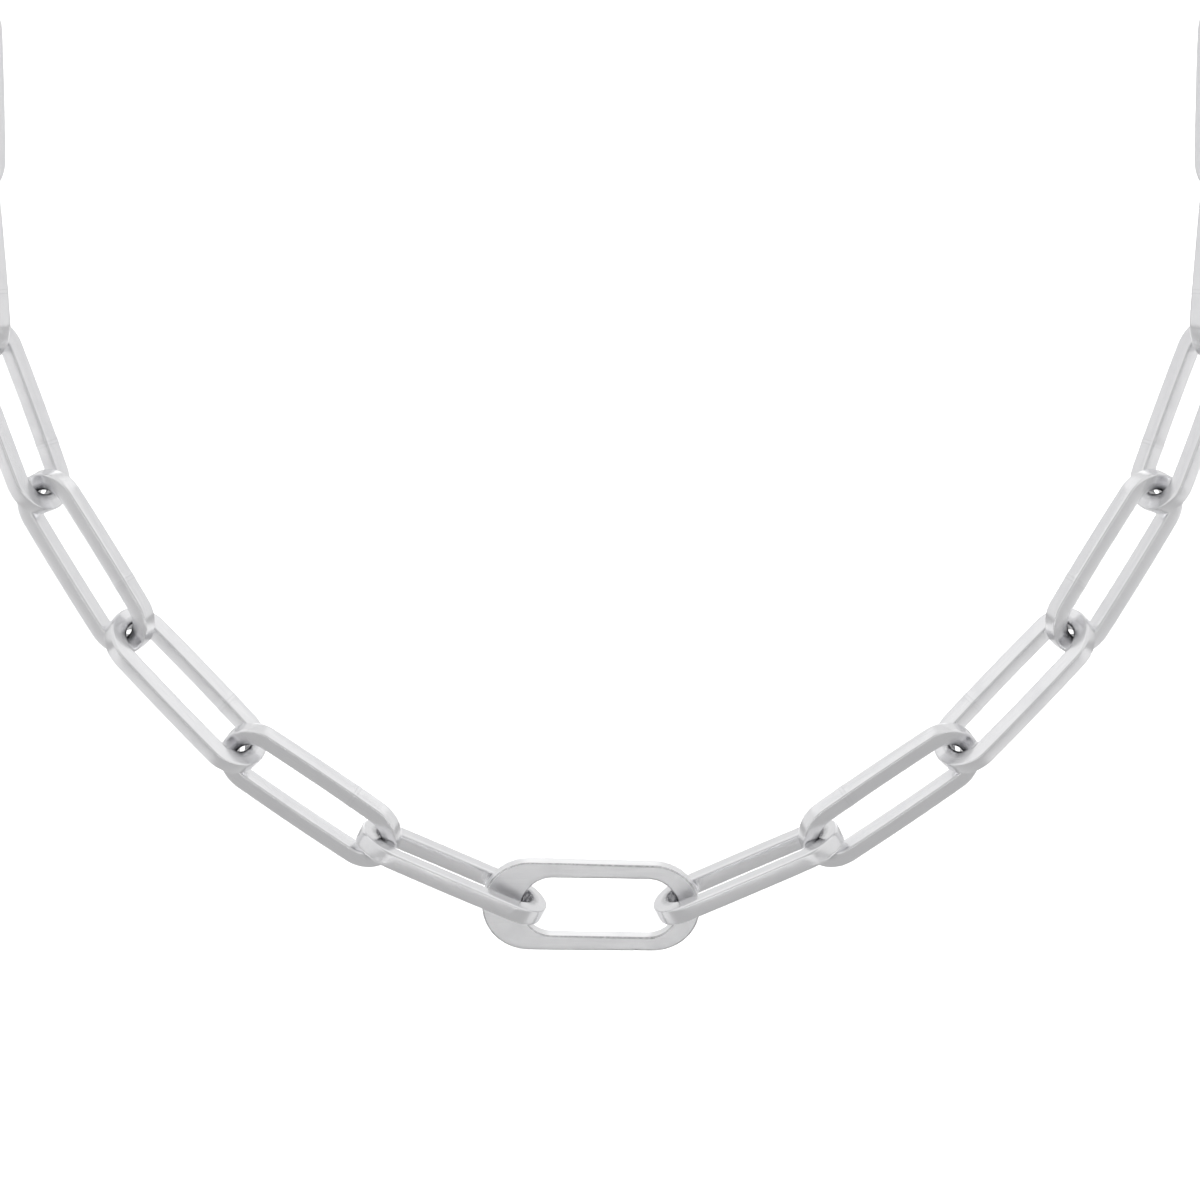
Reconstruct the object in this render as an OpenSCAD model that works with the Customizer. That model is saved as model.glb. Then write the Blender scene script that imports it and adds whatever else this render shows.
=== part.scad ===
// Paperclip chain necklace: long square-wire links, a broad-ended centre link and a plain clasp.
// Millimetres. The origin is at the nape, where the chain hangs; +Z is up and the front faces -Y.

/* [Wire] */
// Side of the square wire of a long link
wire_side = 1.55; // [1.2:0.05:2]
// Radius of the wire's four soft edges
wire_edge_r = 0.28; // [0.2:0.02:0.4]

/* [Long links] */
// Length of a long link over all
link_len = 18.1; // [14:0.1:24]
// Room in a link's window beyond the wire that passes through it
window_play = 2.1; // [1.9:0.05:3]
// Free space between two link ends where they pull on each other
joint_gap = 0.55; // [0.5:0.05:0.8]

/* [Centre link] */
// Length of the window of the centre link
centre_window_len = 13.8; // [11:0.1:18]
// Height of the window of the centre link
centre_window_h = 5.5; // [4.5:0.1:8]
// Thickness of the flat centre link
centre_thick = 1.45; // [1:0.05:2]
// Width of the centre link's two long bars
centre_bar_w = 1.4; // [1:0.05:2.5]
// Width of the centre link's broad end
centre_broad_end = 3.55; // [2.5:0.05:5]
// Width of the centre link's narrow end
centre_narrow_end = 1.95; // [1.4:0.05:2.5]
// How far the centre link leans its upper bar forward, in degrees
centre_roll = 20; // [0:5:40]
// How far the centre link hangs askew, with its narrow end down, in degrees
centre_tilt = 1; // [0:0.5:4]

/* [Clasp] */
// Distance between the two points of the clasp that the end links pull on
clasp_reach = 12.4; // [10:0.1:16]
// Thickness of the clasp
clasp_thick = 1.6; // [1.2:0.05:2.2]
// Width of the rim round the clasp's two openings
clasp_rim = 1.5; // [1.2:0.05:2]
// Room round the link's wire in the clasp's small eye
eye_play = 1.25; // [1.1:0.05:2]
// Width of the clasp's large opening
claw_open_w = 3.6; // [2.8:0.1:5]
// Length of the clasp's large opening
claw_open_len = 6; // [5:0.1:8]
// Height of the thumb knob above the clasp's rim
knob_h = 1.1; // [0.6:0.1:2]

/* [Drape] */
// Number of long links on each side of the centre link
side_links = 14; // [12:1:16]
// Lean of the front of the chain from upright, in degrees
front_lean = 20; // [10:1:30]

/* [Hidden] */
// Number of facets of a round shape
$fn = 48;
// Times that each search along the drape halves its range, and the spans that one step can cross
halvings = 20;
spans_ahead = 4;

// Outer width of a long link, mid-wire radius of its round ends, and length of its straight bars
link_w = 3 * wire_side + window_play;
bend_r = (link_w - wire_side) / 2;
bar_len = link_len - link_w;
// Distance from one pull point to the next along a long link
pitch = link_len - 2 * wire_side - joint_gap;

// Half the centre link's distance between its own two pull points
centre_reach = (centre_window_len - joint_gap) / 2;
centre_h = centre_window_h + 2 * centre_bar_w;

// Right half of the drape, front centre to nape, chosen by hand:
// [across, up the leaning front, back from the leaning front] in millimetres
DRAPE = [
    [0, -0.55, 3], [6.7, -0.4, 3], [19.6, 5.2, 0], [31.6, 13.3, 0], [41.6, 23.7, 0], [49.2, 36, 0],
    [54.2, 49.6, 0], [55.4, 64, 0], [55.8, 78.5, 1], [55.6, 90.7, 6], [54.3, 102.2, 15], [50.5, 110.2, 26],
    [43.5, 115.2, 37.5], [33.3, 118.2, 48], [20.5, 119.2, 55.5], [7, 119.2, 59.5], [0, 119.2, 59.5]];
// Roll of the links next to the centre link, turned from facing the front, in degrees
FRONT_ROLLS = [-69, 36, -45, 39, -48, 57, -45];

function unit(v) = v / norm(v);

// The drape's own axes in the part's frame
lean_up = [0, sin(front_lean), cos(front_lean)];
lean_back = [0, cos(front_lean), -sin(front_lean)];
function drape_point(i) = let (p = DRAPE[max(0, min(len(DRAPE) - 1, i))])
    [p[0], 0, 0] + p[1] * lean_up + p[2] * lean_back;

// Smooth curve through the drape's points, at u from 0 to the number of spans
function spline_at(u) =
    let (
        i = min(floor(u), len(DRAPE) - 2),
        t = u - i,
        a = i == 0 ? mirror_x(drape_point(1)) : drape_point(i - 1),
        b = drape_point(i),
        c = drape_point(i + 1),
        d = i == len(DRAPE) - 2 ? mirror_x(drape_point(i)) : drape_point(i + 2))
    0.5 * (2 * b + t * (c - a) + t * t * (2 * a - 5 * b + 4 * c - d) + t * t * t * (3 * b - a - 3 * c + d));
function mirror_x(p) = [-p[0], p[1], p[2]];

// Place along the curve where it is the distance d from the point p, found by halving
function place_at(p, d, lo, hi, n) =
    n == 0 ? (lo + hi) / 2 :
    let (mid = (lo + hi) / 2)
    norm(spline_at(mid) - p) < d ? place_at(p, d, mid, hi, n - 1) : place_at(p, d, lo, mid, n - 1);

// Places of the pull points along the curve: the first at u, then n more, a step apart
last_u = len(DRAPE) - 1;
function march(u, step, n) = n == 0 ? [u] :
    concat([u], march(place_at(spline_at(u), step, u, min(u + spans_ahead, last_u), halvings), step, n - 1));
function pull_places(size) =
    march(place_at(spline_at(0), centre_reach / size, 0, spans_ahead, halvings), pitch / size, side_links);
// What the curve has left over for the clasp when it is drawn at this size
function left_over(size) = let (u = pull_places(size))
    norm(spline_at(u[side_links]) - spline_at(last_u)) * size - clasp_reach / 2;
function fit_size(lo, hi, n) =
    n == 0 ? (lo + hi) / 2 :
    let (mid = (lo + hi) / 2)
    left_over(mid) > 0 ? fit_size(lo, mid, n - 1) : fit_size(mid, hi, n - 1);

// The drape is drawn at the size that the chain's own length gives, between half and double
drape_size = fit_size(0.5, 2, halvings);
function at_nape(p) = drape_size * (p - spline_at(last_u));
PULLS = [for (u = pull_places(drape_size)) at_nape(spline_at(u))];
centre_place = at_nape(spline_at(0));

// The way across a link's window, perpendicular to its length. The links in front are rolled from
// facing the front, and each link round the neck lies a quarter turn from the one before it.
function along(i) = unit(PULLS[i] - PULLS[i - 1]);
function rolled(along, roll) =
    let (front = unit(-lean_back + (lean_back * along) * along))
    cos(roll) * cross(front, along) + sin(roll) * front;
function across(i) =
    i <= len(FRONT_ROLLS) ? rolled(along(i), FRONT_ROLLS[i - 1]) : unit(cross(along(i), across(i - 1)));

// Puts children, drawn along X with their window facing Z, in the middle between two pull points
module between(p, q, across) {
    along = unit(q - p);
    face = cross(along, across);
    mid = (p + q) / 2;
    multmatrix([
        [along[0], across[0], face[0], mid[0]],
        [along[1], across[1], face[1], mid[1]],
        [along[2], across[2], face[2], mid[2]],
        [0, 0, 0, 1]]) children();
}

// Section of the square wire with its soft edges
module wire_section() {
    flat = wire_side - 2 * wire_edge_r;
    square([wire_side, flat], center = true);
    square([flat, wire_side], center = true);
    for (sx = [-1, 1]) for (sy = [-1, 1])
        translate([sx * flat / 2, sy * flat / 2]) circle(r = wire_edge_r);
}

// Long link of square wire, soldered closed: two bars and two half rings
module long_link() {
    color("silver") union() {
        for (sy = [-1, 1]) translate([0, sy * bend_r, 0]) rotate([90, 0, 90])
            linear_extrude(height = bar_len, center = true) wire_section();
        for (turn = [0, 180]) rotate([0, 0, turn]) translate([bar_len / 2, 0, 0]) rotate([0, 0, -90])
            rotate_extrude(angle = 180) translate([bend_r, 0]) wire_section();
    }
}

// Upright slot with round ends, lying along X
module slot_shape(length, height) {
    square([length - height, height], center = true);
    for (sx = [-1, 1]) translate([sx * (length - height) / 2, 0]) circle(d = height);
}

// Flat centre link with one broad and one narrow end
module centre_link() {
    shift = (centre_narrow_end - centre_broad_end) / 2;
    color("gainsboro") between(centre_place - [1, 0, 0], centre_place + [1, 0, 0], rolled([1, 0, 0], centre_roll))
        rotate([0, 0, -centre_tilt]) linear_extrude(height = centre_thick, center = true) difference() {
            translate([shift, 0])
                slot_shape(centre_window_len + centre_broad_end + centre_narrow_end, centre_h);
            slot_shape(centre_window_len, centre_window_h);
        }
}

// Plain claw clasp in one piece: a large opening, a neck, a small eye and a thumb knob
module clasp() {
    end_x = (clasp_reach + joint_gap) / 2;
    eye_d = wire_side + eye_play;
    eye_x = end_x - eye_d / 2;
    claw_x = claw_open_len / 2 - end_x;
    neck_w = 2 * clasp_rim;
    knob_r = clasp_rim;
    last = across(side_links);
    color("silver") between([-1, 0, 0], [1, 0, 0], unit(cross([1, 0, 0], last)))
        linear_extrude(height = clasp_thick, center = true) difference() {
            union() {
                translate([claw_x, 0])
                    slot_shape(claw_open_len + 2 * clasp_rim, claw_open_w + 2 * clasp_rim);
                translate([eye_x, 0]) circle(d = eye_d + 2 * clasp_rim);
                translate([(claw_x + eye_x) / 2, 0]) square([eye_x - claw_x, neck_w], center = true);
                translate([claw_x + clasp_rim, claw_open_w / 2 + clasp_rim + knob_h - knob_r])
                    circle(r = knob_r);
            }
            translate([claw_x, 0]) slot_shape(claw_open_len, claw_open_w);
            translate([eye_x, 0]) circle(d = eye_d);
        }
}

// Long link number i, counted from the centre link, on the right or mirrored to the left
module side_link(side, i) {
    mirror([side == "left" ? 1 : 0, 0, 0])
        between(PULLS[i - 1], PULLS[i], across(i)) long_link();
}

centre_link();
clasp();
for (side = ["right", "left"]) for (i = [1:side_links])
    side_link(side, i);
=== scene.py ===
# Paperclip chain necklace in polished silver, as it hangs round a neck.
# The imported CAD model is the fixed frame. Each link, the centre link and the clasp are made
# again here with soft wire edges and a worked metal surface, in the place that their node gives.
import math

import bmesh
import bpy
import numpy as np
from mathutils import Matrix, Vector


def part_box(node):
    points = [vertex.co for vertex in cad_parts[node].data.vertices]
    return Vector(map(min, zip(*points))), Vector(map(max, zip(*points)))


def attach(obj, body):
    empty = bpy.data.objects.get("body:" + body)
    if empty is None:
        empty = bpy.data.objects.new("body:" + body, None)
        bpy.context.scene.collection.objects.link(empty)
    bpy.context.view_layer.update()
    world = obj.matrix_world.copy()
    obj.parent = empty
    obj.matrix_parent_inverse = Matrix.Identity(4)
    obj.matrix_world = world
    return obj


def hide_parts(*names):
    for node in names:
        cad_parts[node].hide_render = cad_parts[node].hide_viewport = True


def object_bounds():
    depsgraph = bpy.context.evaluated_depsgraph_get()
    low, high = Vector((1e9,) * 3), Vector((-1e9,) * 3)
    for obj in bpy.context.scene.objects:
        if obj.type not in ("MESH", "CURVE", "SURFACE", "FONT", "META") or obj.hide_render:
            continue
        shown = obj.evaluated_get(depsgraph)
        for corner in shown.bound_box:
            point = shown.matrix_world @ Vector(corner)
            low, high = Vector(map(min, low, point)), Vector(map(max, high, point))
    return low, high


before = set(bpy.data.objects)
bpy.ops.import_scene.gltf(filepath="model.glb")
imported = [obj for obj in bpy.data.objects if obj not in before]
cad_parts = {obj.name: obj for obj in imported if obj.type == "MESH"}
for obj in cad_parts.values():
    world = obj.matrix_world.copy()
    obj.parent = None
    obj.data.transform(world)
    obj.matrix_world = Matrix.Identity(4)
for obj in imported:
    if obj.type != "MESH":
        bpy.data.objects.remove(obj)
cadLow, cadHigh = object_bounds()
mm = 0.001
print("frame loaded:", len(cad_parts), "nodes")

drape = {
    "frontLean": 20,  # degrees that the front of the chain leans back, as on a chest
    "centreSetBack": 3 * mm,  # the centre link hangs this far behind the leaning front
    "sideLinks": 14,
}
lean = math.radians(drape["frontLean"])
leanUp = Vector((0, math.sin(lean), math.cos(lean)))
leanBack = Vector((0, math.cos(lean), -math.sin(lean)))


def colourOf(hexCode):
    # sRGB hex to the linear values that a shader takes
    parts = [int(hexCode[i:i + 2], 16) / 255 for i in (1, 3, 5)]
    return tuple(c / 12.92 if c <= 0.04045 else ((c + 0.055) / 1.055) ** 2.4 for c in parts) + (1,)


def addNode(tree, kind, inputs=None, **settings):
    # one node: its settings, and for each input a value or the socket that feeds it
    node = tree.nodes.new(kind)
    for name, value in settings.items():
        setattr(node, name, value)
    for key, value in (inputs or {}).items():
        socket = node.inputs[key]
        if isinstance(value, bpy.types.NodeSocket):
            tree.links.new(value, socket)
        else:
            socket.default_value = value
    return node


def nodePlace(name, towards, upwards):
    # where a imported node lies, read from its surface: centre, axes and size along, across and through
    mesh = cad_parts[name].data
    mesh.calc_loop_triangles()
    points = np.array([v.co[:] for v in mesh.vertices])
    corners = points[np.array([t.vertices[:] for t in mesh.loop_triangles])]
    area = np.linalg.norm(np.cross(corners[:, 1] - corners[:, 0], corners[:, 2] - corners[:, 0]), axis=1) / 2
    total = corners.sum(axis=1)
    centre = (area[:, None] * total / 3).sum(axis=0) / area.sum()
    corners = corners - centre
    total = corners.sum(axis=1)
    spread = np.einsum("i,ijk,ijl->kl", area, corners, corners) + np.einsum("i,ik,il->kl", area, total, total)
    ways = np.linalg.eigh(spread)[1].T[::-1]
    along = ways[0] * (1 if ways[0] @ np.array(towards) > 0 else -1)
    across = ways[1] * (1 if ways[1] @ np.array(upwards) > 0 else -1)
    through = np.cross(along, across)
    size = [float(np.ptp((points - centre) @ way)) for way in (along, across, through)]
    turn = Matrix([along, across, through]).transposed().to_4x4()
    return Matrix.Translation(Vector(centre)) @ turn, size


silver = {
    "metal": "#F1F1F2",  # rhodium-bright silver, neutral
    "cloud": "#E2E2E5",  # where the polish is a little duller
    "seam": "#8C8C90",  # solder line
    "shadeAndNickColour": "#505055",  # painted shade inside the bends, painted dark reflection lines along ridges, and the centre link's solder nick
    "patchyShadeLeast": 0.45,  # share of that shade where it is patchy
    "roughLow": 0.17,  # roughness where the polish is best
    "roughHigh": 0.28,  # and where it is dullest
    "edgeRough": 0.04,  # burnished stretches of the edges
    "edgeDull": 0.2,  # and the rest of them
    "edgeScale": 0.12,  # per mm: those stretches are about 8 mm long
    "cloudScale": 0.35,  # per mm: clouds about 3 mm wide
    "cloudMost": 0.55,  # how far a cloud dulls the metal at most
    "drawScale": 7.0,  # per mm across the wire: drawing lines about 0.15 mm apart
    "drawStretch": 0.05,  # the lines are 20 times as long as they are apart
    "drawDepth": 0.0016 * mm,
    "drawStrength": 0.35,  # how much of that depth the light feels
    "lineMost": 0.5,  # how far a line dulls the metal at most
    "pitScale": 3.2,  # per mm: pits about 0.3 mm wide, in the surface's grain and in the patches of the painted shade
    "seamWidth": 0.34,  # mm between the two edges of the solder
    "seamLine": 0.05,  # mm, width of each edge line
}


def polishedSilver(name, look):
    # sterling silver wire, drawn, soldered and tumbled bright: clear but slightly cloudy reflections,
    # faint lines along the wire, edges more polished than faces
    material = bpy.data.materials.new(name)
    material.use_nodes = True
    tree = material.node_tree
    tree.nodes.clear()
    # place on the piece in mm, in its own axes
    place = addNode(tree, "ShaderNodeAttribute", attribute_name="metalPlace").outputs["Vector"]
    ridge = addNode(tree, "ShaderNodeAttribute", attribute_name="edgePolish").outputs["Fac"]
    seam = addNode(tree, "ShaderNodeAttribute", attribute_name="seamShade").outputs["Fac"]
    objectPlace = addNode(tree, "ShaderNodeTexCoord").outputs["Object"]
    cloudPlace = addNode(tree, "ShaderNodeMapping", {
        "Vector": objectPlace, "Scale": (1 / mm, 1 / mm, 1 / mm)}).outputs[0]
    cloud = addNode(tree, "ShaderNodeTexNoise", {
        "Vector": cloudPlace, "Scale": look["cloudScale"], "Detail": 4, "Roughness": 0.6}).outputs["Fac"]
    linePlace = addNode(tree, "ShaderNodeMapping", {
        "Vector": place, "Scale": (look["drawStretch"], 1, 1)}).outputs[0]
    lines = addNode(tree, "ShaderNodeTexNoise", {
        "Vector": linePlace, "Scale": look["drawScale"], "Detail": 3, "Roughness": 0.55}).outputs["Fac"]
    pits = addNode(tree, "ShaderNodeTexNoise", {
        "Vector": place, "Scale": look["pitScale"], "Detail": 2, "Roughness": 0.5}).outputs["Fac"]

    # solder: two thin lines, the edges of the filled joint
    seamX = addNode(tree, "ShaderNodeSeparateXYZ", {0: addNode(
        tree, "ShaderNodeAttribute", attribute_name="seamPlace").outputs["Vector"]}).outputs["X"]
    fromMiddle = addNode(tree, "ShaderNodeMath", {0: seamX}, operation="ABSOLUTE").outputs[0]
    fromEdge = addNode(tree, "ShaderNodeMath", {
        0: fromMiddle, 1: look["seamWidth"] / 2}, operation="SUBTRACT").outputs[0]
    edgeGap = addNode(tree, "ShaderNodeMath", {0: fromEdge}, operation="ABSOLUTE").outputs[0]
    onLine = addNode(tree, "ShaderNodeMapRange", {
        "Value": edgeGap, "From Min": look["seamLine"] / 2, "From Max": look["seamLine"] * 1.4,
        "To Min": 1, "To Max": 0}, interpolation_type="SMOOTHSTEP").outputs[0]
    seamMask = addNode(tree, "ShaderNodeMath", {0: onLine, 1: seam}, operation="MULTIPLY").outputs[0]

    cloudFade = addNode(tree, "ShaderNodeMapRange", {
        "Value": cloud, "From Min": 0.35, "From Max": 0.7, "To Min": 0, "To Max": look["cloudMost"]}).outputs[0]
    lineFade = addNode(tree, "ShaderNodeMapRange", {
        "Value": lines, "From Min": 0.3, "From Max": 0.75, "To Min": 0, "To Max": look["lineMost"]}).outputs[0]
    dull = addNode(tree, "ShaderNodeMath", {0: cloudFade, 1: lineFade}, operation="MAXIMUM").outputs[0]
    keep = addNode(tree, "ShaderNodeMath", {0: 1, 1: ridge}, operation="SUBTRACT").outputs[0]
    dullFaces = addNode(tree, "ShaderNodeMath", {0: dull, 1: keep}, operation="MULTIPLY").outputs[0]
    # the colour sockets of a Mix node share their names with its other kinds, so they go by place: 6 and 7
    bare = addNode(tree, "ShaderNodeMix", {
        "Factor": dullFaces, 6: colourOf(look["metal"]), 7: colourOf(look["cloud"])}, data_type="RGBA").outputs[2]
    # painted shade: the hollows of the bends and the ridge lines beside them are darkened towards a grey in patches,
    # standing in for shade and dark reflections; on the centre link the same grey also marks the solder's nick
    bend = addNode(tree, "ShaderNodeAttribute", attribute_name="bendShade").outputs["Fac"]
    patchy = addNode(tree, "ShaderNodeMapRange", {
        "Value": pits, "From Min": 0.3, "From Max": 0.6, "To Min": look["patchyShadeLeast"], "To Max": 1}).outputs[0]
    paintedShade = addNode(tree, "ShaderNodeMath", {0: bend, 1: patchy}, operation="MULTIPLY").outputs[0]
    withPaintedShade = addNode(tree, "ShaderNodeMix", {
        "Factor": paintedShade, 6: bare, 7: colourOf(look["shadeAndNickColour"])}, data_type="RGBA").outputs[2]
    coloured = addNode(tree, "ShaderNodeMix", {
        "Factor": seamMask, 6: withPaintedShade, 7: colourOf(look["seam"])}, data_type="RGBA").outputs[2]
    faceRough = addNode(tree, "ShaderNodeMapRange", {
        "Value": dull, "From Min": 0, "From Max": 0.8,
        "To Min": look["roughLow"], "To Max": look["roughHigh"]}).outputs[0]
    # edges come out of the tumbler bright in long patches
    edgeCloud = addNode(tree, "ShaderNodeTexNoise", {
        "Vector": cloudPlace, "Scale": look["edgeScale"], "Detail": 1, "Roughness": 0.5}).outputs["Fac"]
    edgeRough = addNode(tree, "ShaderNodeMapRange", {
        "Value": edgeCloud, "From Min": 0.42, "From Max": 0.62,
        "To Min": look["edgeRough"], "To Max": look["edgeDull"]}).outputs[0]
    rough = addNode(tree, "ShaderNodeMix", {
        "Factor": ridge, 2: faceRough, 3: edgeRough}, data_type="FLOAT").outputs[0]
    grain = addNode(tree, "ShaderNodeMath", {0: lines, 1: pits}, operation="ADD").outputs[0]
    faceGrain = addNode(tree, "ShaderNodeMath", {0: grain, 1: keep}, operation="MULTIPLY").outputs[0]
    lineHeight = addNode(tree, "ShaderNodeMath", {0: faceGrain, 1: seamMask}, operation="SUBTRACT").outputs[0]
    bump = addNode(tree, "ShaderNodeBump", {
        "Height": lineHeight, "Strength": look["drawStrength"], "Distance": look["drawDepth"]}).outputs[0]
    shader = addNode(tree, "ShaderNodeBsdfPrincipled", {
        "Base Color": coloured, "Metallic": 1.0, "Roughness": rough, "Normal": bump})
    addNode(tree, "ShaderNodeOutputMaterial", {"Surface": shader.outputs[0]})
    return material


# the centre link is of the same metal, duller and a shade whiter than the wire
drawnSilver = polishedSilver("polished sterling silver wire", silver)
brushedSilver = polishedSilver("fine-brushed sterling silver sheet", {
    **silver, "metal": "#F3F3F4", "cloud": "#E2E2E4", "roughLow": 0.34, "roughHigh": 0.42, "drawScale": 6.0,
    "edgeRough": 0.12, "edgeDull": 0.25})
print("metals made")


longLink = {
    "firstCloser": 0.15 * mm,  # the two links beside the centre link are bent this much narrower
    "firstLonger": 0.06 * mm,  # and reach this much further out, to stay clear of the next link
    "bow": 0.14 * mm,  # bending leaves the bars bowed outwards by this
    "shoulders": 1.5,  # and the link narrower at its bends, by this many bows
    "bendRound": 0.10 * mm,  # the wire's outer edges are worn this much where it bends
    "ridgeShade": 0.75,  # painted dark reflection lines along the ridges at the bends
    "bendBlend": 1.6 * mm,  # a bend's changes come in over this length
    "hollowStart": 0.38,  # the dark hollow begins at this share of the way in from the wire's middle
    "hollowFull": 0.9,  # and is full from this share
    "ridgeStart": -2.5 * mm,  # the dark ridge lines begin here, from the start of a bend
    "ridgeFull": 0.5 * mm,  # and are full from here
    "squareness": 8.0,  # power of the wire's section: 2 is round, 12 nearly sharp
    "ringPoints": 300,  # points along the wire: 0.13 mm apart
    "sectionPoints": 40,
    "wobble": 0.006 * mm,  # hand finishing: how far the faces leave a true plane
    "wobbleScale": 0.28 / mm,  # swells about 3.5 mm long
    "seamX": 5.5 * mm,  # place of the solder seam from the middle, on the links beside the centre link
    "seamShift": -0.6,  # share of that at which it lies on the others
    "seamSwell": 0.02 * mm,  # the solder stands this proud of the wire
    "seamCore": 0.15 * mm,  # half the length of the swell's top
    "seamFoot": 0.6 * mm,  # and of its foot
    "seamOnFirst": 0.9,  # how clear the seam is on the links beside the centre link
    "seamElsewhere": 0.08,
}


def linkTree():
    # grows a link along X with its window facing Z: the wire's section swept round a long ring
    tree = bpy.data.node_groups.new("paperclipLink", "GeometryNodeTree")
    face = tree.interface
    face.new_socket("Geometry", in_out="INPUT", socket_type="NodeSocketGeometry")
    for name in ("Ring Length", "Ring Width", "Bow", "Half Side", "Section Power", "Bar End", "Inner Radius",
                 "Middle Radius", "Outer Radius", "Bend Round", "Ridge Shade", "Wobble", "Wobble Scale",
                 "Seam X", "Seam Swell", "Seam Shade"):
        face.new_socket(name, in_out="INPUT", socket_type="NodeSocketFloat")
    for name in ("Ring Points", "Section Points", "Seed"):
        face.new_socket(name, in_out="INPUT", socket_type="NodeSocketInt")
    face.new_socket("Metal", in_out="INPUT", socket_type="NodeSocketMaterial")
    face.new_socket("Geometry", in_out="OUTPUT", socket_type="NodeSocketGeometry")
    given = tree.nodes.new("NodeGroupInput").outputs

    # path of the wire's middle: two straight bars and two half rings
    box = addNode(tree, "GeometryNodeCurvePrimitiveQuadrilateral", {
        "Width": given["Ring Length"], "Height": given["Ring Width"]})
    bent = addNode(tree, "GeometryNodeFilletCurve", {
        "Curve": box.outputs[0], "Count": 32, "Radius": given["Middle Radius"], "Limit Radius": True}, mode="POLY")
    path = addNode(tree, "GeometryNodeResampleCurve", {
        "Curve": bent.outputs[0], "Count": given["Ring Points"]}, mode="COUNT")
    onPath = addNode(tree, "ShaderNodeSeparateXYZ", {0: addNode(tree, "GeometryNodeInputPosition").outputs[0]}).outputs
    share = addNode(tree, "ShaderNodeMath", {0: onPath["X"], 1: given["Ring Length"]}, operation="DIVIDE").outputs[0]
    shareSquared = addNode(tree, "ShaderNodeMath", {0: share, 1: share}, operation="MULTIPLY").outputs[0]
    # 1 in the middle of a bar, 0 at the ring's ends
    middleness = addNode(tree, "ShaderNodeMath", {
        0: shareSquared, 1: -4.0, 2: 1.0}, operation="MULTIPLY_ADD").outputs[0]
    whichBar = addNode(tree, "ShaderNodeMath", {0: onPath["Y"]}, operation="SIGN").outputs[0]
    barWay = addNode(tree, "ShaderNodeMath", {0: middleness, 1: whichBar}, operation="MULTIPLY").outputs[0]
    bowOut = addNode(tree, "ShaderNodeMath", {0: barWay, 1: given["Bow"]}, operation="MULTIPLY").outputs[0]
    bowed = addNode(tree, "GeometryNodeSetPosition", {
        "Geometry": path.outputs[0], "Offset": addNode(tree, "ShaderNodeCombineXYZ", {1: bowOut}).outputs[0]})
    upright = addNode(tree, "GeometryNodeSetCurveNormal", {"Curve": bowed.outputs[0]}, mode="Z_UP")

    # section: a circle drawn out to a soft square, its faces a little crowned
    circle = addNode(tree, "GeometryNodeCurvePrimitiveCircle", {"Resolution": given["Section Points"], "Radius": 1.0})
    onCircle = addNode(tree, "GeometryNodeInputPosition").outputs[0]
    way = addNode(tree, "ShaderNodeVectorMath", {0: onCircle}, operation="SIGN").outputs[0]
    reach = addNode(tree, "ShaderNodeVectorMath", {0: onCircle}, operation="ABSOLUTE").outputs[0]
    pushed = addNode(tree, "ShaderNodeVectorMath", {0: reach, 1: given["Section Power"]}, operation="POWER").outputs[0]
    squared = addNode(tree, "ShaderNodeVectorMath", {0: pushed, 1: way}, operation="MULTIPLY").outputs[0]
    outline = addNode(tree, "ShaderNodeVectorMath", {
        0: squared, "Scale": given["Half Side"]}, operation="SCALE").outputs[0]
    section = addNode(tree, "GeometryNodeSetPosition", {
        "Geometry": circle.outputs[0], "Position": outline}).outputs[0]
    reachParts = addNode(tree, "ShaderNodeSeparateXYZ", {0: reach})
    corner = addNode(tree, "ShaderNodeMath", {
        0: reachParts.outputs[0], 1: reachParts.outputs[1]}, operation="MULTIPLY").outputs[0]
    polish = addNode(tree, "ShaderNodeMapRange", {
        "Value": corner, "From Min": 0.2, "From Max": 0.48}, interpolation_type="SMOOTHSTEP").outputs[0]
    for name, value in (("edgePolish", polish), ("wireCorner", corner)):
        section = addNode(tree, "GeometryNodeStoreNamedAttribute", {
            "Geometry": section, "Name": name, "Value": value}, data_type="FLOAT", domain="POINT").outputs[0]
    wire = addNode(tree, "GeometryNodeCurveToMesh", {
        "Curve": upright.outputs[0], "Profile Curve": section}).outputs[0]

    # how far round a bend each point lies, and how far from the bend's middle
    here = addNode(tree, "GeometryNodeInputPosition").outputs[0]
    at = addNode(tree, "ShaderNodeSeparateXYZ", {0: here}).outputs
    alongX = addNode(tree, "ShaderNodeMath", {0: at["X"]}, operation="ABSOLUTE").outputs[0]
    pastBar = addNode(tree, "ShaderNodeMath", {0: alongX, 1: given["Bar End"]}, operation="SUBTRACT").outputs[0]
    pastEnd = addNode(tree, "ShaderNodeMath", {0: pastBar, 1: 0.0}, operation="MAXIMUM").outputs[0]
    whichEnd = addNode(tree, "ShaderNodeMath", {0: at["X"]}, operation="SIGN").outputs[0]
    endWay = addNode(tree, "ShaderNodeMath", {0: pastEnd, 1: whichEnd}, operation="MULTIPLY").outputs[0]
    fromBend = addNode(tree, "ShaderNodeCombineXYZ", {0: endWay, 1: at["Y"]}).outputs[0]
    radius = addNode(tree, "ShaderNodeVectorMath", {0: fromBend}, operation="LENGTH").outputs["Value"]
    outwards = addNode(tree, "ShaderNodeVectorMath", {0: fromBend}, operation="NORMALIZE").outputs[0]
    inBend = addNode(tree, "ShaderNodeMapRange", {
        "Value": pastEnd, "From Min": 0.0, "From Max": longLink["bendBlend"]},
        interpolation_type="SMOOTHSTEP").outputs[0]

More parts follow.
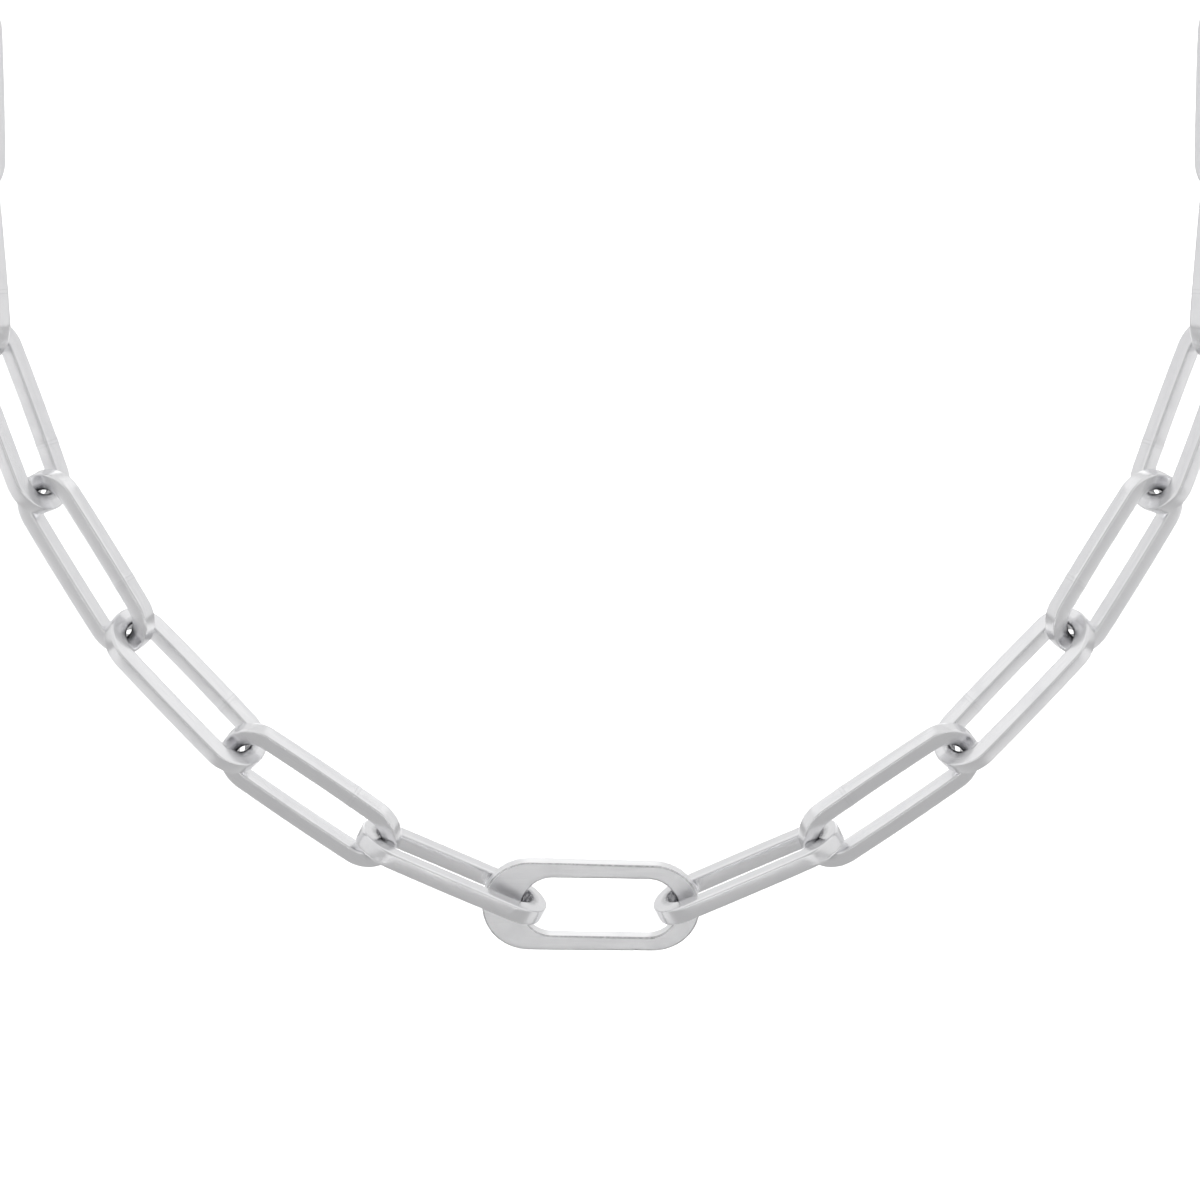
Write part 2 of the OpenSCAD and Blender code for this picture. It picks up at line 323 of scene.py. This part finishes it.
    # the hollow of a bend, and the wear that rounds the wire's two outer edges there
    inside = addNode(tree, "ShaderNodeMapRange", {
        "Value": radius, "From Min": given["Inner Radius"], "From Max": given["Middle Radius"],
        "To Min": 1, "To Max": 0}).outputs[0]
    hollow = addNode(tree, "ShaderNodeMath", {0: inside, 1: inBend}, operation="MULTIPLY").outputs[0]
    outside = addNode(tree, "ShaderNodeMapRange", {
        "Value": radius, "From Min": given["Middle Radius"], "From Max": given["Outer Radius"]}).outputs[0]
    cornerHere = addNode(tree, "GeometryNodeInputNamedAttribute", {
        "Name": "wireCorner"}, data_type="FLOAT").outputs[0]
    cornerPart = addNode(tree, "ShaderNodeMapRange", {
        "Value": cornerHere, "From Min": 0.05, "From Max": 0.5}, interpolation_type="SMOOTHSTEP").outputs[0]
    outerCorner = addNode(tree, "ShaderNodeMath", {0: outside, 1: cornerPart}, operation="MULTIPLY").outputs[0]
    wornPart = addNode(tree, "ShaderNodeMath", {0: outerCorner, 1: inBend}, operation="MULTIPLY").outputs[0]
    wear = addNode(tree, "ShaderNodeMath", {0: wornPart, 1: given["Bend Round"]}, operation="MULTIPLY").outputs[0]
    drawnIn = addNode(tree, "ShaderNodeMath", {0: wear, 1: -1.0}, operation="MULTIPLY").outputs[0]
    radialShift = addNode(tree, "ShaderNodeVectorMath", {0: outwards, "Scale": drawnIn}, operation="SCALE").outputs[0]
    whichFace = addNode(tree, "ShaderNodeMath", {0: at["Z"]}, operation="SIGN").outputs[0]
    faceShift = addNode(tree, "ShaderNodeMath", {0: whichFace, 1: wear}, operation="MULTIPLY").outputs[0]
    sideShift = addNode(tree, "ShaderNodeCombineXYZ", {2: faceShift}).outputs[0]
    bendShift = addNode(tree, "ShaderNodeVectorMath", {0: radialShift, 1: sideShift}, operation="SUBTRACT").outputs[0]
    hollowShade = addNode(tree, "ShaderNodeMapRange", {
        "Value": hollow, "From Min": longLink["hollowStart"], "From Max": longLink["hollowFull"]},
        interpolation_type="SMOOTHSTEP").outputs[0]
    # painted shade in the hollow of a bend, and painted dark reflection lines along the ridges beside it
    ridgeLine = addNode(tree, "ShaderNodeMapRange", {
        "Value": cornerHere, "From Min": 0.4, "From Max": 0.5}, interpolation_type="SMOOTHSTEP").outputs[0]
    nearBend = addNode(tree, "ShaderNodeMapRange", {
        "Value": pastBar, "From Min": longLink["ridgeStart"], "From Max": longLink["ridgeFull"],
        "To Max": given["Ridge Shade"]}, interpolation_type="SMOOTHSTEP").outputs[0]
    ridgeShade = addNode(tree, "ShaderNodeMath", {0: ridgeLine, 1: nearBend}, operation="MULTIPLY").outputs[0]
    bendShade = addNode(tree, "ShaderNodeMath", {0: hollowShade, 1: ridgeShade}, operation="MAXIMUM").outputs[0]

    # seam: on the upper bar, a slight swell of solder
    fromSeam = addNode(tree, "ShaderNodeMath", {0: at["X"], 1: given["Seam X"]}, operation="SUBTRACT").outputs[0]
    seamGap = addNode(tree, "ShaderNodeMath", {0: fromSeam}, operation="ABSOLUTE").outputs[0]
    onBar = addNode(tree, "ShaderNodeMapRange", {"Value": at["Y"], "From Min": 0.0, "From Max": 1 * mm}).outputs[0]
    nearSeam = addNode(tree, "ShaderNodeMapRange", {
        "Value": seamGap, "From Min": longLink["seamCore"], "From Max": longLink["seamFoot"],
        "To Min": 1, "To Max": 0}, interpolation_type="SMOOTHSTEP").outputs[0]
    seamBand = addNode(tree, "ShaderNodeMath", {0: onBar, 1: nearSeam}, operation="MULTIPLY").outputs[0]
    seamShade = addNode(tree, "ShaderNodeMath", {0: seamBand, 1: given["Seam Shade"]}, operation="MULTIPLY").outputs[0]
    solder = addNode(tree, "ShaderNodeMath", {0: seamBand, 1: given["Seam Swell"]}, operation="MULTIPLY").outputs[0]

    # hand finishing: soft waves in the faces, taken far apart in the noise for each link
    seedW = addNode(tree, "ShaderNodeMath", {0: given["Seed"], 1: 7.31}, operation="MULTIPLY").outputs[0]
    noise = addNode(tree, "ShaderNodeTexNoise", {
        "Scale": given["Wobble Scale"], "Detail": 1, "W": seedW}, noise_dimensions="4D").outputs["Fac"]
    swing = addNode(tree, "ShaderNodeMath", {0: noise, 1: 0.5}, operation="SUBTRACT").outputs[0]
    raised = addNode(tree, "ShaderNodeMath", {
        0: swing, 1: given["Wobble"], 2: solder}, operation="MULTIPLY_ADD").outputs[0]
    lift = addNode(tree, "ShaderNodeVectorMath", {
        0: addNode(tree, "GeometryNodeInputNormal").outputs[0], "Scale": raised}, operation="SCALE").outputs[0]

    # what the metal reads: its own place in mm, the seam's place, and the shades of seam and bend
    seedZ = addNode(tree, "ShaderNodeMath", {0: given["Seed"], 1: 13.7}, operation="MULTIPLY").outputs[0]
    seedPlace = addNode(tree, "ShaderNodeCombineXYZ", {2: seedZ}).outputs[0]
    placeMm = addNode(tree, "ShaderNodeVectorMath", {0: here, "Scale": 1 / mm}, operation="SCALE").outputs[0]
    metalPlace = addNode(tree, "ShaderNodeVectorMath", {0: placeMm, 1: seedPlace}, operation="ADD").outputs[0]
    seamMm = addNode(tree, "ShaderNodeMath", {0: fromSeam, 1: 1 / mm}, operation="MULTIPLY").outputs[0]
    seamPlace = addNode(tree, "ShaderNodeCombineXYZ", {0: seamMm}).outputs[0]
    for name, kind, value in (
            ("metalPlace", "FLOAT_VECTOR", metalPlace), ("seamPlace", "FLOAT_VECTOR", seamPlace),
            ("bendShade", "FLOAT", bendShade), ("seamShade", "FLOAT", seamShade)):
        wire = addNode(tree, "GeometryNodeStoreNamedAttribute", {
            "Geometry": wire, "Name": name, "Value": value}, data_type=kind, domain="POINT").outputs[0]
    offset = addNode(tree, "ShaderNodeVectorMath", {0: lift, 1: bendShift}, operation="ADD").outputs[0]
    moved = addNode(tree, "GeometryNodeSetPosition", {"Geometry": wire, "Offset": offset})
    smooth = addNode(tree, "GeometryNodeSetShadeSmooth", {"Geometry": moved.outputs[0]})
    real = addNode(tree, "GeometryNodeRealizeInstances", {"Geometry": smooth.outputs[0]})
    finished = addNode(tree, "GeometryNodeSetMaterial", {
        "Geometry": real.outputs[0], "Material": given["Metal"]})
    addNode(tree, "NodeGroupOutput", {"Geometry": finished.outputs[0]})
    return tree


def grown(name, tree, values):
    # runs a tree once and keeps its result as a plain mesh object
    holder = bpy.data.objects.new(name + "Maker", bpy.data.meshes.new(name + "Maker"))
    bpy.context.collection.objects.link(holder)
    modifier = holder.modifiers.new("made", "NODES")
    modifier.node_group = tree
    sockets = {s.name: s.identifier for s in tree.interface.items_tree
               if s.item_type == "SOCKET" and s.in_out == "INPUT"}
    for key, value in values.items():
        modifier[sockets[key]] = value
    depsgraph = bpy.context.evaluated_depsgraph_get()
    mesh = bpy.data.meshes.new_from_object(
        holder.evaluated_get(depsgraph), preserve_all_data_layers=True, depsgraph=depsgraph)
    bpy.data.objects.remove(holder)
    piece = bpy.data.objects.new(name, mesh)
    bpy.context.collection.objects.link(piece)
    return piece


def markMetal(data, ridges=None, marks=None):
    # what the metal reads on a piece that no tree made: place in mm, ridges and dark marks, and no seam
    placeMm = data.attributes.new("metalPlace", "FLOAT_VECTOR", "POINT")
    placeMm.data.foreach_set("vector", np.array([v.co[:] for v in data.vertices]).ravel() / mm)
    for name, values in (("edgePolish", ridges), ("bendShade", marks), ("seamShade", None)):
        attribute = data.attributes.new(name, "FLOAT", "POINT")
        if values:
            attribute.data.foreach_set("value", values)
    data.attributes.new("seamPlace", "FLOAT_VECTOR", "POINT")


def standsFor(piece, node, place):
    # puts a piece made in its own axes where the node is, with the object itself at the origin
    piece.data.transform(place)
    piece.data.update()
    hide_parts(node)
    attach(piece, "root")


tree = linkTree()
upwards = leanUp + Vector((0, 0, 0.2))  # tells a link's upper bar from its lower one
for side in ("right", "left"):
    for number in range(1, drape["sideLinks"] + 1):
        node = f"link_{side}_{number}"
        centre = (Vector(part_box(node)[0]) + Vector(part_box(node)[1])) / 2
        before = "centre_link" if number == 1 else f"link_{side}_{number - 1}"
        towards = centre - (Vector(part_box(before)[0]) + Vector(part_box(before)[1])) / 2
        place, size = nodePlace(node, towards, upwards)
        first = number == 1
        # a link beside the centre link keeps its end there, and is bent a little closer
        length = size[0] + (longLink["firstLonger"] if first else 0)
        width = size[1] - longLink["shoulders"] * longLink["bow"] - (longLink["firstCloser"] if first else 0)
        wireSide = size[2]
        piece = grown(f"{side}Link{number}", tree, {
            "Ring Length": length - wireSide, "Ring Width": width - wireSide, "Bow": longLink["bow"],
            "Half Side": wireSide / 2, "Section Power": 2 / longLink["squareness"], "Bar End": (length - width) / 2,
            # a hair under half the ring's width, so that the two corners of an end stay apart
            "Inner Radius": width / 2 - wireSide, "Middle Radius": (width - wireSide) * 0.4999,
            "Outer Radius": width / 2,
            "Bend Round": longLink["bendRound"], "Ridge Shade": longLink["ridgeShade"],
            "Wobble": longLink["wobble"], "Wobble Scale": longLink["wobbleScale"],
            "Seam X": longLink["seamX"] * (1 if first else longLink["seamShift"]), "Seam Swell": longLink["seamSwell"],
            "Seam Shade": longLink["seamOnFirst"] if first else longLink["seamElsewhere"],
            "Ring Points": longLink["ringPoints"], "Section Points": longLink["sectionPoints"],
            "Seed": number + (20 if side == "left" else 0), "Metal": drawnSilver})
        standsFor(piece, node, place @ Matrix.Translation((longLink["firstLonger"] / 2 if first else 0, 0, 0)))
print("long links made:", 2 * drape["sideLinks"], "each", len(piece.data.polygons), "faces")


centreLink = {
    "windowLength": 13.8 * mm,
    "windowHeight": 5.5 * mm,
    "barWidth": 1.4 * mm,
    "broadEnd": 3.55 * mm,
    "narrowEnd": 1.95 * mm,
    "thickness": 1.45 * mm,
    "edgeRound": 0.22 * mm,
    "edgeSteps": 5,
    "ringPoints": 240,
    "taper": 0.12 * mm,  # the narrow end is filed this much slimmer above and below
    "taperFrom": -4 * mm,  # from here along the link
    "taperLength": 12 * mm,
    "dish": 0.05 * mm,  # the broad end leans back this much towards its lower edge
    "dishFrom": 5 * mm,  # from here outwards
    "dishSlope": 0.6,
    "dishLength": 4 * mm,
    "nickInnerX": 4.7 * mm,  # marks that the solder left on the lower bar, from the window's middle
    "nickOuterX": 3.3 * mm,
    "nickLength": 0.4 * mm,
    "nickDepth": 0.07 * mm,
    "ridgeShade": 0.7,  # a painted dark reflection line along the front ridges
}


def slotLoop(length, height, shift, count):
    # points round a slot with half-round ends, counter-clockwise, three tenths of them on each end
    radius, straight = height / 2, length - height
    perEnd, points = count * 3 // 10, []
    perBar = count // 2 - perEnd
    for end in (1, -1):
        for i in range(perEnd):
            angle = math.pi * (i / perEnd - 0.5)
            points.append((shift + end * (straight / 2 + radius * math.cos(angle)), end * radius * math.sin(angle)))
        for i in range(perBar):
            points.append((shift + end * (straight / 2 - straight * i / perBar), end * radius))
    return points


def makeCentreLink():
    cl = centreLink
    node = "centre_link"
    place = nodePlace(node, (1, 0, 0), (0, 0, 1))[0]
    outerLength = cl["windowLength"] + cl["broadEnd"] + cl["narrowEnd"]
    shift = (cl["narrowEnd"] - cl["broadEnd"]) / 2
    outer = slotLoop(outerLength, cl["windowHeight"] + 2 * cl["barWidth"], shift, cl["ringPoints"])
    inner = slotLoop(cl["windowLength"], cl["windowHeight"], 0, cl["ringPoints"])
    middle = (Vector(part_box(node)[0]) + Vector(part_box(node)[1])) / 2
    turn = place.to_3x3()
    origin = middle - turn @ Vector((shift, 0, 0))  # the window's middle
    half, radius, steps = cl["thickness"] / 2, cl["edgeRound"], cl["edgeSteps"]
    # section points: how far across the bar, how far out of that corner, height, and how near a ridge
    section = []
    for across, startTurn in ((0, 180), (1, 90), (1, 0), (0, -90)):
        for step in range(steps + 1):
            angle = math.radians(startTurn - 90 * step / steps)
            height = (half - radius) * (1 if startTurn > 0 else -1) + radius * math.sin(angle)
            inset = radius * (1 if across == 0 else -1) + radius * math.cos(angle)
            section.append((across, inset, height, math.sin(math.pi * step / steps)))
        if startTurn in (180, 0):
            flat = half if startTurn == 180 else -half
            shares = (0.25, 0.5, 0.75) if startTurn == 180 else (0.75, 0.5, 0.25)
            section += [(share, 0.0, flat, 0.0) for share in shares]
    mesh = bmesh.new()
    rings, ridges, marks = [], [], []
    for (ox, oy), (ix, iy) in zip(outer, inner):
        barWay = Vector((ox - ix, oy - iy, 0))
        width = barWay.length
        barWay.normalize()
        ring = []
        for across, inset, height, ridge in section:
            point = Vector((ix, iy, 0)) + barWay * (across * width + inset)
            narrowing = max(0.0, min(1.0, (point.x - cl["taperFrom"]) / cl["taperLength"]))
            point.y *= 1 - across * narrowing * cl["taper"] / (cl["windowHeight"] / 2 + cl["barWidth"])
            outwards = -point.x - cl["dishFrom"] - point.y * cl["dishSlope"]
            lean = cl["dish"] * max(0.0, min(1.0, outwards / cl["dishLength"])) ** 2
            # the solder shows only as a nick on the lower bar's inner ridge and a dark speck on its outer one
            nickX = cl["nickOuterX"] if across else cl["nickInnerX"]
            nick = ridge * max(0.0, 1 - abs(point.x - nickX) / cl["nickLength"])
            nick *= 1 if oy < 0 and height > 0 else 0
            point -= barWay * (1 if across else -1) * nick * cl["nickDepth"]
            ring.append(mesh.verts.new((point.x, point.y, height - lean)))
            ridges.append(ridge)
            # dark marks: the solder's nick, and the painted dark reflection line along the front ridges
            marks.append(max(nick, ridge ** 4 * cl["ridgeShade"] * (1 if height > 0 else 0)))
        rings.append(ring)
    for ring, following in zip(rings, rings[1:] + rings[:1]):
        for i in range(len(section)):
            j = (i + 1) % len(section)
            mesh.faces.new((ring[i], ring[j], following[j], following[i]))
    bmesh.ops.recalc_face_normals(mesh, faces=mesh.faces)
    data = bpy.data.meshes.new("centreLink")
    mesh.to_mesh(data)
    mesh.free()
    markMetal(data, ridges, marks)
    data.shade_smooth()
    data.materials.append(brushedSilver)
    piece = bpy.data.objects.new("centreLink", data)
    bpy.context.collection.objects.link(piece)
    piece.modifiers.new("flat faces", "WEIGHTED_NORMAL").keep_sharp = False
    standsFor(piece, node, Matrix.Translation(origin) @ turn.to_4x4())
    return len(data.polygons)


print("centre link made:", makeCentreLink(), "faces")


claspLook = {
    "edgeRound": 0.28 * mm,
    "edgeSteps": 4,
    "edgeAngle": 40,  # degrees: sharper edges than this are rounded
    "flatAngle": 1,  # degrees: faces closer to one plane than this are joined
    "weld": 0.002 * mm,
}


def makeClasp():
    node = "clasp"
    place = nodePlace(node, (1, 0, 0), (0, 0, 1))[0]
    mesh = bmesh.new()
    mesh.from_mesh(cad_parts[node].data)
    bmesh.ops.remove_doubles(mesh, verts=mesh.verts, dist=claspLook["weld"])
    bmesh.ops.dissolve_limit(
        mesh, angle_limit=math.radians(claspLook["flatAngle"]), verts=mesh.verts, edges=mesh.edges)
    mesh.transform(place.inverted())
    data = bpy.data.meshes.new("clasp")
    mesh.to_mesh(data)
    mesh.free()
    markMetal(data)
    data.materials.clear()
    data.materials.append(drawnSilver)
    data.shade_smooth()
    piece = bpy.data.objects.new("plainClasp", data)
    bpy.context.collection.objects.link(piece)
    bevel = piece.modifiers.new("soft edges", "BEVEL")
    bevel.width, bevel.segments = claspLook["edgeRound"], claspLook["edgeSteps"]
    bevel.limit_method, bevel.angle_limit = "ANGLE", math.radians(claspLook["edgeAngle"])
    piece.modifiers.new("flat faces", "WEIGHTED_NORMAL")
    standsFor(piece, node, place)


makeClasp()
print("clasp made")


studio = {
    "floorDrop": 0.95,  # m below the lowest link
    "floorReach": 12,  # m from the middle to each side
    "floorColour": "#C9C9C9",
    "floorRough": 0.9,
    "floorGloss": 0.2,
    "tentStrength": 0.83,  # white light tent all round
    "portStrength": 0.55,  # the opening that the picture is taken through
    "portWidth": 25,  # degrees from its middle to its edge
    "portEdge": 0.1,  # share of that over which the edge fades
    "fieldWidth": 105.95 * mm,  # width of the picture at the chain
    "distance": 0.9,  # m from the camera to the chain
    "sensor": 36,  # mm
    "seenFrom": 0.05,  # m: the camera sees nothing nearer
    "seenTo": 40,  # m, and nothing further off
    "aimUp": 27.0 * mm,  # height of the picture's middle above the centre link, up the leaning front
}

floorMesh = bpy.data.meshes.new("floor")
reach = studio["floorReach"]
low = cadLow[2] - studio["floorDrop"]
floorMesh.from_pydata(
    [(-reach, -reach, low), (reach, -reach, low), (reach, reach, low), (-reach, reach, low)], [], [(0, 1, 2, 3)])
floor = bpy.data.objects.new("floor", floorMesh)
bpy.context.collection.objects.link(floor)
floorPaint = bpy.data.materials.new("matt studio paint")
floorPaint.use_nodes = True
paint = floorPaint.node_tree.nodes["Principled BSDF"]
paint.inputs["Base Color"].default_value = colourOf(studio["floorColour"])
paint.inputs["Roughness"].default_value = studio["floorRough"]
paint.inputs["Specular IOR Level"].default_value = studio["floorGloss"]
floorMesh.materials.append(floorPaint)

# light tent: white all round, darker at the opening in front
world = bpy.data.worlds.new("light tent")
world.use_nodes = True
tent = world.node_tree
tent.nodes.clear()
direction = addNode(tent, "ShaderNodeTexCoord").outputs["Generated"]
towardsPort = addNode(tent, "ShaderNodeVectorMath", {
    0: direction, 1: -leanBack}, operation="DOT_PRODUCT").outputs["Value"]
tentLight = addNode(tent, "ShaderNodeMapRange", {
    "Value": towardsPort,
    "From Min": math.cos(math.radians(studio["portWidth"] * (1 + studio["portEdge"]))),
    "From Max": math.cos(math.radians(studio["portWidth"] * (1 - studio["portEdge"]))),
    "To Min": studio["tentStrength"], "To Max": studio["portStrength"]}, interpolation_type="SMOOTHSTEP").outputs[0]
glow = addNode(tent, "ShaderNodeBackground", {"Color": (1, 1, 1, 1), "Strength": tentLight})
addNode(tent, "ShaderNodeOutputWorld", {"Surface": glow.outputs[0]})
bpy.context.scene.world = world

centreLow, centreHigh = (Vector(c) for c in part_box("centre_link"))
chainFront = Vector((0, (centreLow.y + centreHigh.y) / 2, (centreLow.z + centreHigh.z) / 2))
chainFront -= leanBack * drape["centreSetBack"]


def areaLamp(name, at, width, depth, power, spread, aim=None, turn=0):
    # a softbox aimed at the chain, or, with no aim, a lamp that hangs level over its patch of the floor
    light = bpy.data.lights.new(name, "AREA")
    light.shape, light.size, light.size_y, light.energy = "RECTANGLE", width, depth, power
    light.spread = math.radians(spread)
    lamp = bpy.data.objects.new(name, light)
    lamp.location = at
    if aim is not None:
        lamp.rotation_euler = (aim - lamp.location).to_track_quat("-Z", "Y").to_euler()
    else:
        lamp.rotation_euler = (0, 0, math.radians(turn))
    bpy.context.collection.objects.link(lamp)


# softboxes over the chain, and lamps that whiten the floor where the picture and the faces of the links see it
for hand, way in (("Right", 1), ("Left", -1)):
    areaLamp("softbox" + hand, (1.2 * way, 0.05, 1.3), 1.1, 1.1, 0.5, 180, aim=chainFront)
    areaLamp("rearSoftbox" + hand, (1.0 * way, 1.0, 1.15), 1.0, 0.9, 0.45, 180, aim=chainFront)
    areaLamp("floorLamp" + hand, (3.2 * way, -0.2, 1.8), 2.5, 2.5, 6, 90)
    areaLamp("sideFloor" + hand, (3.0 * way, -0.1, low + 0.5), 4.4, 1.7, 12.3, 50, turn=-16 * way)
    areaLamp("cornerFloor" + hand, (2.9 * way, -2.9, low + 0.5), 2.6, 1.6, 7.6, 50, turn=-45 * way)
areaLamp("softboxBack", (0, 2.1, 0.95), 0.6, 0.7, 0.8, 180, aim=chainFront)
areaLamp("floorLampBack", (0, 2.9, 1.8), 3.0, 2.2, 60, 90)
areaLamp("floorLampFront", (0, -3.75, low + 0.45), 3.0, 3.2, 25, 40)

aim = chainFront + leanUp * studio["aimUp"]
cameraData = bpy.data.cameras.new("camera")
cameraData.sensor_width = studio["sensor"]
cameraData.lens = studio["sensor"] * studio["distance"] / studio["fieldWidth"]
cameraData.clip_start, cameraData.clip_end = studio["seenFrom"], studio["seenTo"]
camera = bpy.data.objects.new("camera", cameraData)
camera.location = aim - leanBack * studio["distance"]
camera.rotation_euler = leanBack.to_track_quat("-Z", "Y").to_euler()
bpy.context.collection.objects.link(camera)
bpy.context.scene.camera = camera
bpy.context.scene.view_settings.view_transform = "Standard"
print("studio made")
